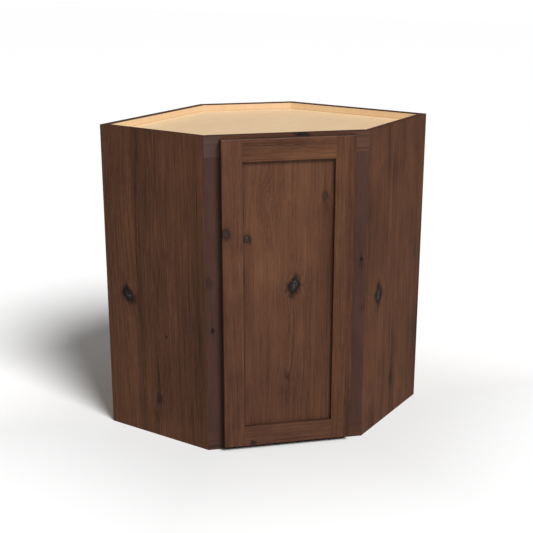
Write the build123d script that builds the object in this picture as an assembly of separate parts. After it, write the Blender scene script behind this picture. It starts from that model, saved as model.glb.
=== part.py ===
from build123d import *
from math import radians, sqrt, tan
import os

# Corner wall cabinet: a face-frame carcass with a clipped back corner and one door across the corner.
# Millimetres, +Z up. The two wall faces lie at -X and +Y, the door looks toward +X -Y.
# The origin is the middle of the square that the wall legs span, at the height of the underside.

# carcass
wall_leg = 609.6            # each wall face, measured from the room corner
side_return = 321.0         # each side, from its wall to the front corner
corner_clip = 187.3         # cut off the back corner, along each wall
height = 812.8
side_thick = 15.9
back_thick = 12.7
deck_thick = 12.7           # top and bottom panels
top_recess = 19.0           # top panel below the rim
side_dado = 6.4             # depth of the grooves that hold the top and bottom panels
back_rabbet = 9.5           # depth of the step that hides the wall panel's end
glue_line = 0.1             # left between glued faces

# hanging rails behind the wall panels' screws
hang_thick = 19.0
hang_tall = 76.2
hang_hole_radius = 2.75

# shelves and their pins
shelf_thick = 19.0
shelf_play = 1.6            # round the shelf's edge
shelf_setback = 25.0        # behind the face frame
shelf_count = 2
pin_hole_radius = 2.5
pin_hole_deep = 9.0
pin_hole_pitch = 32.0
pin_hole_rows = 2           # heights to choose from for each shelf
pin_from_corner = 60.0      # pin columns from the ends of the shelf's side
pin_play = 0.05
pin_plate = 10.0            # length and width of the pin's bracket
pin_sheet = 1.6

# face frame
frame_thick = 19.0
frame_stile = 51.7          # width of both stiles' front faces
frame_rail = 50.8           # height of both rails, which run the whole width over the stiles' ends
frame_tenon_long = 20.0
frame_tenon_thick = 9.5
frame_tenon_shoulder = 6.0
frame_groove = 6.4          # grooves in the rails' backs for the top and bottom panels

# door
door_overlay = 12.7         # door over the frame, on each side of the opening
door_low = 12.7             # door's bottom edge above the cabinet's underside
door_top_reveal = 6.4       # frame seen above the door
door_thick = 19.0
door_gap = 2.8              # door's back to the frame's front
door_stile = 50.8
door_rail = 54.0
panel_thick = 6.4
panel_recess = 9.5          # panel's face behind the door's face
panel_groove = 9.5          # depth of the groove round the opening
panel_entry = 7.0           # how far the panel enters it
groove_play = 0.15
eased_edge = 1.2
spacer_long = 25.0
spacer_rows = 3
bumper_wide = 8.0
bumper_inset = 2.0
rest_gap = 0.3              # left where moving pieces meet at rest

# hinges: the arm hooks round one pin inside the cup
hinge_inset = 89.0          # hinge's middle from the door's top and bottom edges
cup_radius = 17.5
cup_tab = 3.0               # cup's edge to the door's edge
cup_bore_deep = 13.2
cup_sheet = 0.8
cup_flange_thick = 1.0
cup_flange_rim = 1.6
cup_flange_edge = 2.2       # flange's straight side to the door's edge
cup_screw_pitch = 45.0
cup_screw_offset = 9.5      # screws' line behind the cup's middle
cup_wing = 7.0
hinge_pin_edge = 7.2        # pin's axis to the door's edge
hinge_pin_deep = 9.3        # pin's axis below the door's back
hinge_pin_radius = 1.25
hinge_pin_play = 0.05       # in the arm's eye
hinge_pin_seat = 0.02       # in the cup's ears
eye_radius = 2.6
eye_half = 3.5              # half the eye's width
arm_half = 5.0              # half the strap's width
arm_sheet = 2.0
arm_reach = 13.1            # along the door, from the pin to the strap's first bend
arm_relief = 4.0            # the strap is narrow up to here, between the ears
arm_behind = 1.5            # arm's front bend behind the frame's face
arm_plate_long = 16.0
arm_plate_half = 11.0
arm_bend = 1.6
ear_sheet = 1.2
ear_radius = 2.7
screw_radius = 1.9
screw_long = 12.5
screw_head_radius = 3.6
screw_head_tall = 1.2
screw_play = 0.05

half = wall_leg / 2
mitre = tan(radians(22.5))                     # corners of 135 degrees are cut at 22.5
face_half = (wall_leg - side_return) / sqrt(2)  # half the face frame's width
opening_width = 2 * (face_half - frame_stile)
corner_half = corner_clip / sqrt(2)            # half the corner panel's width
top_low = height - top_recess - deck_thick
bottom_high = frame_rail                       # bottom panel flush with the rail
bottom_low = bottom_high - deck_thick
door_back = -door_gap
door_front = -door_gap - door_thick
door_high = height - door_top_reveal
door_width = opening_width + 2 * door_overlay
hinge_heights = (door_low + hinge_inset, door_high - hinge_inset)

# places: the face frame's front face and the corner panel's outer face, both with X to the right
# as seen from the door and Y away from it
front = Plane(origin=(side_return / 2, -side_return / 2, 0), x_dir=(1, 1, 0), z_dir=(0, 0, 1)).location
corner = Plane(
    origin=(corner_clip / 2 - half, half - corner_clip / 2, 0), x_dir=(1, 1, 0), z_dir=(0, 0, 1)
).location
other_side = Plane(origin=(0, 0, 0), z_dir=(1, 1, 0))  # mirrors the left half onto the right


def board(outline, low, high):
    # a board with this plan outline between two heights
    return Pos(0, 0, low) * extrude(Polygon(*outline, align=None), amount=high - low, dir=(0, 0, 1))


def block(x0, x1, y0, y1, z0, z1):
    return Pos(x0, y0, z0) * Box(x1 - x0, y1 - y0, z1 - z0, align=(Align.MIN, Align.MIN, Align.MIN))


def rod(start, direction, radius, length):
    return Plane(origin=start, z_dir=direction).location * Cylinder(
        radius, length, align=(Align.CENTER, Align.CENTER, Align.MIN)
    )


def clip_y(x, inset):
    # where the line set in from the corner panel's outer face crosses this x
    return x + wall_leg - corner_clip - sqrt(2) * inset


def inside_outline(side, back, clip, face):
    # plan outline, set in from the outer faces of sides, wall panels, corner panel and face frame
    x_back = back - half
    y_side = side - half
    left = [
        (side_return - sqrt(2) * face + y_side, y_side),
        (x_back, y_side),
        (x_back, clip_y(x_back, clip)),
    ]
    return left + [(-y, -x) for x, y in reversed(left)]


# shelf heights and pin places

clear_height = top_low - bottom_high


def shelf_low(level):
    # undersides share the clear height evenly
    return bottom_high + clear_height * level / (shelf_count + 1) - shelf_thick / 2


def pin_height(level):
    return shelf_low(level) - pin_sheet - pin_hole_radius


def pin_hole_heights():
    # the holes in use, and free ones above them
    return [
        pin_height(level) + row * pin_hole_pitch
        for level in range(1, shelf_count + 1)
        for row in range(pin_hole_rows)
    ]


shelf_outline = inside_outline(
    side_thick + shelf_play, back_thick + shelf_play, back_thick + shelf_play, frame_thick + shelf_setback
)
side_pin_columns = (shelf_outline[0][0] - pin_from_corner, shelf_outline[1][0] + pin_from_corner)


def left_side_holes():
    inner = side_thick - half
    return [
        rod((x, inner, z), (0, -1, 0), pin_hole_radius, pin_hole_deep)
        for x in side_pin_columns
        for z in pin_hole_heights()
    ]


# carcass

def left_side_panel():
    inner = side_thick - half
    step = inner - back_rabbet
    wall_end = back_thick + glue_line - half
    tip = side_return - half
    outline = [
        (-half, -half),
        (tip, -half),
        (tip - mitre * side_thick, inner),
        (wall_end, inner),
        (wall_end, step),
        (-half, step),
    ]
    panel = board(outline, 0, height)
    for low in (bottom_low, top_low):
        panel -= block(
            -half, tip, inner - side_dado, inner, low - glue_line, low + deck_thick + glue_line
        )
    for hole in left_side_holes():
        panel -= hole
    return panel


def hang_holes():
    # one above the other through the rails' middles, so that both screws find the same stud
    middle = (side_thick - half + clip_y(back_thick - half, back_thick)) / 2
    return [
        rod((-half - 1, middle, z), (1, 0, 0), hang_hole_radius, back_thick + hang_thick + 2)
        for z in (bottom_high + hang_tall / 2, top_low - hang_tall / 2)
    ]


def left_back_panel():
    start = side_thick - back_rabbet + glue_line - half
    tip = half - corner_clip - glue_line
    outline = [
        (-half, start),
        (-half, tip),
        (back_thick - half, tip - mitre * back_thick),
        (back_thick - half, start),
    ]
    panel = board(outline, 0, height)
    for hole in hang_holes():
        panel -= hole
    return panel


def corner_back_panel():
    inner_half = corner_half - mitre * back_thick
    outline = [(-corner_half, 0), (corner_half, 0), (inner_half, -back_thick), (-inner_half, -back_thick)]
    panel = board(outline, 0, height)
    for z in pin_hole_heights():
        panel -= rod((0, -back_thick, z), (0, 1, 0), pin_hole_radius, pin_hole_deep)
    return corner * panel


def deck(low):
    # top or bottom panel: in the sides' grooves, with a tongue in the frame rail's groove
    outline = inside_outline(
        side_thick - side_dado + glue_line, back_thick + glue_line, back_thick + glue_line,
        frame_thick + glue_line,
    )
    tongue_half = opening_width / 2 - glue_line
    tongue = block(
        -tongue_half, tongue_half, frame_thick - frame_groove + glue_line, frame_thick + 1,
        low, low + deck_thick,
    )
    return board(outline, low, low + deck_thick) + front * tongue


def left_hanging_rail(low):
    x0 = back_thick + glue_line - half
    x1 = x0 + hang_thick
    y0 = side_thick + glue_line - half
    inset = back_thick + glue_line
    rail = board([(x0, y0), (x1, y0), (x1, clip_y(x1, inset)), (x0, clip_y(x0, inset))], low, low + hang_tall)
    for hole in hang_holes():
        rail -= hole
    return rail


# shelves

def shelf(level):
    low = shelf_low(level)
    return board(shelf_outline, low, low + shelf_thick)


def shelf_pin():
    # a peg on +Y, and a small bracket that stands off the panel: a plate on top and a leg against the panel
    plate = block(-pin_plate / 2, pin_plate / 2, -pin_plate, -pin_play, pin_hole_radius, pin_hole_radius + pin_sheet)
    leg = block(-pin_plate / 2, pin_plate / 2, -pin_sheet, -pin_play, -pin_plate, pin_hole_radius + pin_sheet)
    rib = Pos(-pin_sheet / 2, 0, 0) * extrude(
        Plane.YZ * Polygon(
            (-pin_sheet / 2, -pin_plate), (-pin_plate, pin_hole_radius + pin_sheet / 2),
            (-pin_sheet / 2, pin_hole_radius + pin_sheet / 2), align=None,
        ),
        amount=pin_sheet, dir=(1, 0, 0),
    )
    peg = rod((0, -pin_sheet, 0), (0, 1, 0), pin_hole_radius - pin_play, pin_hole_deep + pin_sheet - 1)
    return plate + leg + rib + peg


def shelf_pins():
    pin = shelf_pin()
    placed = []
    for level in range(1, shelf_count + 1):
        z = pin_height(level)
        left = [Location((x, side_thick - half, z), (0, 0, 180)) * pin for x in side_pin_columns]
        placed += left + [mirror(one, about=other_side) for one in left]
        placed.append(corner * Location((0, -back_thick, z)) * pin)
    return Compound(children=placed)


# face frame, in the frame's own place

def stile_tenon(low, high, play):
    # left stile's tenon, or the mortise for it
    middle = frame_thick / 2
    thick = frame_tenon_thick / 2 + play
    return block(
        -face_half + mitre * frame_thick + frame_tenon_shoulder - play,
        -opening_width / 2 - frame_tenon_shoulder + play,
        middle - thick, middle + thick, low, high,
    )


def arm_screw_depth():
    # screw's middle behind the frame's front face
    return arm_behind + arm_sheet + (arm_plate_long - arm_sheet) / 2


def frame_left_stile():
    tip = face_half - glue_line
    outline = [
        (-tip, 0),
        (-opening_width / 2, 0),
        (-opening_width / 2, frame_thick),
        (-tip + mitre * frame_thick, frame_thick),
    ]
    stile = board(outline, frame_rail + glue_line, height - frame_rail - glue_line)
    reach = frame_rail - frame_tenon_long
    return stile + stile_tenon(reach, height - reach, 0)


def frame_right_stile():
    stile = mirror(frame_left_stile(), about=Plane.YZ)
    for z in hinge_heights:
        stile -= rod((opening_width / 2, arm_screw_depth(), z), (1, 0, 0), screw_radius + screw_play, screw_long)
    return stile


def frame_rail_bar(low, deck_low):
    tip = face_half - glue_line
    back = tip - mitre * frame_thick
    rail = board([(-tip, 0), (tip, 0), (back, frame_thick), (-back, frame_thick)], low, low + frame_rail)
    reach = frame_rail - frame_tenon_long - glue_line
    mortise = stile_tenon(reach, height - reach, glue_line)
    end = opening_width / 2
    groove = block(
        -end, end, frame_thick - frame_groove, frame_thick,
        deck_low - glue_line, deck_low + deck_thick + glue_line,
    )
    return rail - mortise - mirror(mortise, about=Plane.YZ) - groove


# door, in the frame's own place

def eased(bar, keep):
    # soften the outer edges of the front face, but not the edge that the chosen side keeps sharp
    face = bar.faces().sort_by(Axis.Y)[0]
    edges = face.edges().filter_by(lambda edge: not keep(edge.center()))
    return fillet(edges, eased_edge)


def panel_slot(x0, x1, z0, z1, play):
    y0 = door_front + panel_recess
    return block(x0, x1, y0 - play, y0 + panel_thick + play, z0, z1)


def door_left_stile():
    outer = -door_width / 2
    inner = outer + door_stile
    bar = block(outer, inner, door_front, door_back, door_low, door_high)
    bar = eased(bar, lambda p: abs(p.X - inner) < 1)
    return bar - panel_slot(inner - panel_groove, inner, door_low, door_high, groove_play)


def hinge_place(z):
    # local X runs from the door's hinge edge toward its free edge, Y toward the cabinet, on the door's back
    return Location((door_width / 2, door_back, z))


def cup_middle():
    return cup_tab + cup_radius


def cup_screw_places():
    return [(cup_middle() + cup_screw_offset, side * cup_screw_pitch / 2) for side in (-1, 1)]


def door_right_stile():
    stile = mirror(door_left_stile(), about=Plane.YZ)
    for z in hinge_heights:
        place = hinge_place(z)
        stile -= place * rod((-cup_middle(), 0, 0), (0, -1, 0), cup_radius, cup_bore_deep)
        for x, up in cup_screw_places():
            stile -= place * rod((-x, 0, up), (0, -1, 0), screw_radius + screw_play, cup_bore_deep)
    return stile


def door_rail_bar(low, inner_low):
    # inner_low says that the rail's lower edge faces the panel
    end = door_width / 2 - door_stile
    high = low + door_rail
    bar = block(-end + glue_line, end - glue_line, door_front, door_back, low, high)
    inner = low if inner_low else high
    front_face = bar.faces().sort_by(Axis.Y)[0]
    outer_edge = [e for e in front_face.edges().filter_by(Axis.X) if abs(e.center().Z - inner) > 1]
    bar = fillet(outer_edge, eased_edge)
    bar += panel_slot(-end - panel_groove + glue_line, end + panel_groove - glue_line, low, high, 0)
    groove = (low, low + panel_groove) if inner_low else (high - panel_groove, high)
    return bar - panel_slot(-door_width, door_width, groove[0], groove[1], groove_play)


def door_panel():
    wide = door_width / 2 - door_stile + panel_entry
    return panel_slot(
        -wide, wide, door_low + door_rail - panel_entry, door_high - door_rail + panel_entry, 0
    )


def panel_spacers():
    # foam strips between the panel's edges and the bottoms of the stiles' grooves
    inner = door_width / 2 - door_stile + panel_entry + glue_line
    outer = door_width / 2 - door_stile + panel_groove - glue_line
    clear = door_high - door_low - 2 * door_rail
    strips = []
    for row in range(spacer_rows):
        low = door_low + door_rail + clear * (row + 1) / (spacer_rows + 1) - spacer_long / 2
        strip = panel_slot(inner, outer, low, low + spacer_long, 0)
        strips += [strip, mirror(strip, about=Plane.YZ)]
    return Compound(children=strips)


def door_bumpers():
    x = bumper_inset - door_width / 2
    return Compound(children=[
        block(x, x + bumper_wide, door_back, -rest_gap, z, z + bumper_wide)
        for z in (door_low + bumper_inset, door_high - bumper_inset - bumper_wide)
    ])


# hinges, drawn with X toward the door's hinge edge at 0, so that the door lies at negative X

def flat_plate(outline, y0, y1):
    # a plate with this outline in X and Z, between two depths
    face = Plane.XZ * Polygon(*outline, align=None)
    return Pos(0, y0, 0) * extrude(face, amount=y1 - y0, dir=(0, 1, 0))


def hinge_cup():
    middle = cup_middle()
    outer = cup_radius - glue_line
    deep = cup_bore_deep - glue_line
    inside = outer - cup_sheet
    body = rod((-middle, 0, 0), (0, -1, 0), outer, deep)
    wing_x = middle + cup_screw_offset
    wing_z = cup_screw_pitch / 2 + cup_wing
    rim_x = cup_radius + cup_flange_rim
    quarter = [
        (-cup_flange_edge, 0), (-cup_flange_edge, cup_radius / 2), (-middle + cup_radius / 2, rim_x),
        (-wing_x + cup_wing, wing_z), (-wing_x - cup_wing + 2, wing_z), (-wing_x - cup_wing, wing_z - 2),
        (-wing_x - cup_wing, rim_x), (-middle - rim_x, cup_radius / 2), (-middle - rim_x, 0),
    ]
    flange = flat_plate(quarter + [(x, -z) for x, z in reversed(quarter[1:-1])], 0, cup_flange_thick)
    cup = body + flange
    cup -= rod((-middle, cup_flange_thick, 0), (0, -1, 0), inside, cup_flange_thick + deep - cup_sheet)
    # two ears stand on the cup's floor and hold the pin
    for side in (-1, 1):
        z = side * (eye_half + rest_gap + ear_sheet / 2)
        ear = rod((-hinge_pin_edge, -hinge_pin_deep, z - ear_sheet / 2), (0, 0, 1), ear_radius, ear_sheet)
        ear += block(
            -hinge_pin_edge - ear_radius, -hinge_pin_edge + ear_radius, -deep + cup_sheet / 2, -hinge_pin_deep,
            z - ear_sheet / 2, z + ear_sheet / 2,
        )
        ear &= rod((-middle, 0, 0), (0, -1, 0), outer - cup_sheet / 2, deep)
        cup += ear
    cup -= rod((-hinge_pin_edge, -hinge_pin_deep, -cup_radius / 2), (0, 0, 1), hinge_pin_radius + hinge_pin_seat, cup_radius)
    for x, up in cup_screw_places():
        cup -= rod((-x, -1, up), (0, 1, 0), screw_radius + screw_play, cup_flange_thick + 2)
    return cup


def hinge_pin():
    half_long = eye_half + rest_gap + ear_sheet
    return rod(
        (-hinge_pin_edge, -hinge_pin_deep, -half_long), (0, 0, 1), hinge_pin_radius, 2 * half_long
    )


def hinge_arm():
    # a steel strap: along the cup's floor, out of the cup, back to the frame's edge and along it
    strap_y = -hinge_pin_deep - eye_radius + arm_sheet / 2
    bend_x = -hinge_pin_edge - arm_reach
    plate_x = -door_overlay - arm_sheet / 2
    bend_y = door_gap + arm_behind + arm_sheet / 2
    plate_end = door_gap + arm_behind + arm_plate_long
    run = FilletPolyline(
        (-hinge_pin_edge, strap_y), (bend_x, strap_y), (bend_x, bend_y), (plate_x, bend_y), (plate_x, plate_end),
        radius=arm_bend,
    )
    strap = extrude(trace(run, arm_sheet), amount=arm_half, both=True)
    for side in (-1, 1):
        z = side * (eye_half + arm_half) / 2
        width = arm_half - eye_half
        strap -= Pos(-hinge_pin_edge, strap_y, z) * Box(2 * arm_relief, 2 * arm_sheet, width)
    plate = block(
        plate_x - arm_sheet / 2, plate_x + arm_sheet / 2, bend_y + arm_sheet, plate_end,
        -arm_plate_half, arm_plate_half,
    )
    eye = rod((-hinge_pin_edge, -hinge_pin_deep, -eye_half), (0, 0, 1), eye_radius, 2 * eye_half)
    arm = strap + plate + eye
    arm -= rod(
        (-hinge_pin_edge, -hinge_pin_deep, -arm_half), (0, 0, 1), hinge_pin_radius + hinge_pin_play, 2 * arm_half
    )
    arm -= rod(
        (plate_x - arm_sheet, door_gap + arm_screw_depth(), 0), (1, 0, 0), screw_radius + screw_play, 2 * arm_sheet
    )
    return arm


def screw(under_head):
    # points toward +X: the head lies before this point, the shank beyond it
    shank = rod(under_head, (1, 0, 0), screw_radius, screw_long)
    return shank + rod(under_head, (-1, 0, 0), screw_head_radius, screw_head_tall)


def hinge_arm_screws():
    x = opening_width / 2 - arm_sheet
    return Compound(children=[screw((x, arm_screw_depth(), z)) for z in hinge_heights])


def hinge_cup_screws():
    screws = []
    for z in hinge_heights:
        for x, up in cup_screw_places():
            one = Location((-x, cup_flange_thick, up), (0, 0, -90)) * screw((0, 0, 0))
            screws.append(hinge_place(z) * one)
    return Compound(children=screws)


def hinge_pins():
    return Compound(children=[hinge_place(z) * hinge_pin() for z in hinge_heights])


def right(shape):
    return mirror(shape, about=other_side)


def all_pieces():
    side = left_side_panel()
    back = left_back_panel()
    upper_rail = left_hanging_rail(top_low - hang_tall)
    lower_rail = left_hanging_rail(bottom_high)
    pieces = {
        "left_side_panel": side,
        "right_side_panel": right(side),
        "left_back_panel": back,
        "right_back_panel": right(back),
        "corner_back_panel": corner_back_panel(),
        "top_panel": deck(top_low),
        "bottom_panel": deck(bottom_low),
        "left_upper_hanging_rail": upper_rail,
        "right_upper_hanging_rail": right(upper_rail),
        "left_lower_hanging_rail": lower_rail,
        "right_lower_hanging_rail": right(lower_rail),
        "lower_shelf": shelf(1),
        "upper_shelf": shelf(2),
        "shelf_pins": shelf_pins(),
    }
    in_front = {
        "frame_left_stile": frame_left_stile(),
        "frame_right_stile": frame_right_stile(),
        "frame_top_rail": frame_rail_bar(height - frame_rail, top_low),
        "frame_bottom_rail": frame_rail_bar(0, bottom_low),
        "door_left_stile": door_left_stile(),
        "door_right_stile": door_right_stile(),
        "door_top_rail": door_rail_bar(door_high - door_rail, True),
        "door_bottom_rail": door_rail_bar(door_low, False),
        "door_panel": door_panel(),
        "panel_spacers": panel_spacers(),
        "door_bumpers": door_bumpers(),
        "lower_hinge_cup": hinge_place(hinge_heights[0]) * hinge_cup(),
        "upper_hinge_cup": hinge_place(hinge_heights[1]) * hinge_cup(),
        "lower_hinge_arm": hinge_place(hinge_heights[0]) * hinge_arm(),
        "upper_hinge_arm": hinge_place(hinge_heights[1]) * hinge_arm(),
        "hinge_pins": hinge_pins(),
        "hinge_cup_screws": hinge_cup_screws(),
        "hinge_arm_screws": hinge_arm_screws(),
    }
    for name, shape in in_front.items():
        pieces[name] = front * shape
    return pieces


os.makedirs("parts", exist_ok=True)
for name, shape in all_pieces().items():
    export_step(shape, f"parts/{name}.step")
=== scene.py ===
from math import cos, pi, radians, sin, sqrt
import bmesh
import bpy
from mathutils import Matrix, Vector


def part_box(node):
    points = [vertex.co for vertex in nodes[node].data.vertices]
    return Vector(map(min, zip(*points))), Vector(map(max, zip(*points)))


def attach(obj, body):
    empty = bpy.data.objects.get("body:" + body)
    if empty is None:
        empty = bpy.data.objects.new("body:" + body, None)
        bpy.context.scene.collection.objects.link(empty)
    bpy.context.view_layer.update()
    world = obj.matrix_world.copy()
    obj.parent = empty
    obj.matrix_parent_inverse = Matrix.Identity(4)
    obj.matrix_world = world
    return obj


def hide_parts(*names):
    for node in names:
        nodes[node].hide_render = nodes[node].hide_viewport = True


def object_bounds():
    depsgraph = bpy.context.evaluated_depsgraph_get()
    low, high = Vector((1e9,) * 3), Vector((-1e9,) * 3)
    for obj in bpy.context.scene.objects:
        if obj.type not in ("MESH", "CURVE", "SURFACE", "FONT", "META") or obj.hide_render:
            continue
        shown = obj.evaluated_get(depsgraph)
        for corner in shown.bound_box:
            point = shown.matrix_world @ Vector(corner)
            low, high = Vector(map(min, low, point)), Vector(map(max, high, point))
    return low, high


# Corner wall cabinet: stained knotty alder outside, pale wood inside, nickelled hinges.
# Metres, in the frame's own axes: +Z up, the walls at -X and +Y, the door toward +X -Y.
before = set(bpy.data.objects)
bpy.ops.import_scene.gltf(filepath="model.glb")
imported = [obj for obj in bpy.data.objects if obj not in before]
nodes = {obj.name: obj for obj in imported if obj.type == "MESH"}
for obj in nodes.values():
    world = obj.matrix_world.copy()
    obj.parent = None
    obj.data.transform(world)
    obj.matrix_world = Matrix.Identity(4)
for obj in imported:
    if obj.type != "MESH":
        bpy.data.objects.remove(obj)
cadLow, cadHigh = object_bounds()

wallHalf = cadHigh.x
cabinetHeight = cadHigh.z
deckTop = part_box("top_panel")[1].z
sideLow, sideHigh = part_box("left_side_panel")
frontShift = (sideHigh.x - sideLow.x) / sqrt(2)  # from the axis to the face frame's front
print("frame loaded:", len(nodes), "pieces")


# shader helpers

def feed(tree, sockets, values):
    # a value that comes from another node is linked, and any other is set on the socket
    for name, value in values.items():
        if isinstance(value, bpy.types.NodeSocket):
            tree.links.new(value, sockets[name])
        else:
            sockets[name].default_value = value


def addNode(tree, kind, inputs=None, **settings):
    node = tree.nodes.new(kind)
    for name, value in settings.items():
        setattr(node, name, value)
    feed(tree, node.inputs, inputs or {})
    return node


def calc(tree, operation, *values):
    return addNode(tree, "ShaderNodeMath", dict(enumerate(values)), operation=operation).outputs[0]


def plus(tree, first, second):
    return calc(tree, "ADD", first, second)


def minus(tree, first, second):
    return calc(tree, "SUBTRACT", first, second)


def times(tree, first, second):
    return calc(tree, "MULTIPLY", first, second)


def larger(tree, first, second):
    return calc(tree, "MAXIMUM", first, second)


def squared(tree, value):
    return times(tree, value, value)


def bell(tree, square, narrow=1.0):
    # 1 in the middle, and falling off with the square of the distance
    return calc(tree, "EXPONENT", times(tree, square, -narrow))


def weigh(tree, start, parts, weights):
    # a number with some named parts added, each at its own weight
    for name, weight in weights.items():
        start = plus(tree, start, times(tree, parts[name], weight))
    return start


def weighNoise(tree, start, layers, weights):
    # the same for noise, which is lighter and darker about its middle
    for name, weight in weights.items():
        start = plus(tree, start, times(tree, minus(tree, layers[name], 0.5), weight))
    return start


def vectorCalc(tree, operation, *values):
    node = addNode(tree, "ShaderNodeVectorMath", dict(enumerate(values)), operation=operation)
    return node.outputs["Value" if operation == "DOT_PRODUCT" else "Vector"]


def splitVector(tree, vector):
    return addNode(tree, "ShaderNodeSeparateXYZ", {"Vector": vector}).outputs


def joinVector(tree, parts):
    return addNode(tree, "ShaderNodeCombineXYZ", parts).outputs["Vector"]


def objectSpace(tree, output="Object"):
    return addNode(tree, "ShaderNodeTexCoord").outputs[output]


def remap(tree, value, fromLow, fromHigh, toLow=0.0, toHigh=1.0, smooth=True):
    inputs = {
        "Value": value, "From Min": fromLow, "From Max": fromHigh, "To Min": toLow, "To Max": toHigh,
    }
    kind = "SMOOTHSTEP" if smooth else "LINEAR"
    return addNode(tree, "ShaderNodeMapRange", inputs, interpolation_type=kind).outputs["Result"]


def noise(tree, vector, stretch, detail=2.0, rough=0.5, twist=0.0):
    # stretch is how many times a metre the noise changes, along each board axis
    scaled = vectorCalc(tree, "MULTIPLY", vector, stretch)
    inputs = {"Vector": scaled, "Scale": 1.0, "Detail": detail, "Roughness": rough, "Distortion": twist}
    return addNode(tree, "ShaderNodeTexNoise", inputs).outputs["Fac"]


def blendColor(tree, factor, first, second, kind="MIX"):
    # a Mix node's colour sockets are inputs 6 and 7 and output 2
    colors = [c if isinstance(c, bpy.types.NodeSocket) else (*c, 1.0) for c in (first, second)]
    inputs = {0: factor, 6: colors[0], 7: colors[1]}
    return addNode(tree, "ShaderNodeMix", inputs, data_type="RGBA", blend_type=kind).outputs[2]


def colorRamp(tree, value, stops):
    node = addNode(tree, "ShaderNodeValToRGB", {"Fac": value})
    band = node.color_ramp
    while len(band.elements) < len(stops):
        band.elements.new(0.5)
    for element, (place, color) in zip(band.elements, stops):
        element.position = place
        element.color = (*color, 1.0)
    return node.outputs["Color"]


def bumpFrom(tree, height, distance):
    inputs = {"Height": height, "Strength": 0.6, "Distance": distance}
    return addNode(tree, "ShaderNodeBump", inputs).outputs["Normal"]


def newGroup(name, inputs, outputs):
    tree = bpy.data.node_groups.new(name, "ShaderNodeTree")
    for direction, sockets in (("INPUT", inputs), ("OUTPUT", outputs)):
        for label, kind in sockets.items():
            tree.interface.new_socket(name=label, in_out=direction, socket_type="NodeSocket" + kind)
    return tree, tree.nodes.new("NodeGroupInput").outputs, tree.nodes.new("NodeGroupOutput").inputs


def useGroup(tree, group, inputs):
    return addNode(tree, "ShaderNodeGroup", inputs, node_tree=group).outputs


def newMaterial(name, displayColor):
    material = bpy.data.materials.new(name)
    material.use_nodes = True
    material.diffuse_color = (*displayColor, 1.0)
    return material, material.node_tree, material.node_tree.nodes["Principled BSDF"].inputs


def paint(nodeName, material):
    mesh = nodes[nodeName].data
    mesh.materials.clear()
    mesh.materials.append(material)


# board space: X across the board, Y through it, Z along the grain

boardTurns = {
    "left": (0, 0, 0), "right": (0, 0, -pi / 2), "corner": (0, 0, -pi / 4), "deck": (pi / 2, 0, 0),
    "front": (0, 0, -pi / 4), "frontLevel": (0, 0, -pi / 4),
}


def boardSpace(tree, face):
    # the place and the normal, both turned into the board's own axes
    shift = (0, frontShift, 0) if face.startswith("front") else (0, 0, 0)
    spaces = []
    for output, location in (("Object", shift), ("Normal", (0, 0, 0))):
        turned = addNode(tree, "ShaderNodeMapping", {
            "Vector": objectSpace(tree, output), "Rotation": boardTurns[face], "Location": location,
        }).outputs["Vector"]
        if face == "frontLevel":  # grain runs sideways
            parts = splitVector(tree, turned)
            turned = joinVector(tree, {"X": parts["Z"], "Y": parts["Y"], "Z": parts["X"]})
        spaces.append(turned)
    return spaces


# knots: distances are in half widths and half lengths of the knot, from its middle

knotLook = {
    "ragged": 1.8,            # how far the edge wanders
    "raggedNoise": ((95, 95, 48), 4.0, 0.62),
    "core": 0.72,             # a hard knot has its full colour inside this
    "softCore": 0.7,          # how much nearer its middle that is in a soft one
    "heart": (0.80, 0.45),    # where the pale flecks begin, and are full
    "rimOutside": (1.3, 0.95),
    "rimInside": (0.5, 0.9),
    "halo": (2.6, 0.9),       # darker stain round it
    "haloShade": 0.75,
    "ringSpread": 2.6,        # how far the grain bends round it
    "leastTaper": 0.3,
    "tailNarrow": 1.6,
    "tailEnd": (1.0, 0.1),
    "tailNoise": ((420, 420, 9), 3.0, 0.6),
    "tailStreaks": (0.3, 0.65, 0.35, 1.0),
}
knotDefaults = {
    "lift": 1.0,              # how many rings it pushes aside
    "depth": 1.0,             # 0 bends the grain only
    "lean": 0.0, "taper": 0.2, "point": 0.0, "soft": 0.0, "flecks": 0.4,
    "tail": 0.03, "tailShade": 0.0,
}
knotParts = ("lift", "core", "heart", "shade", "rim")


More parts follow.
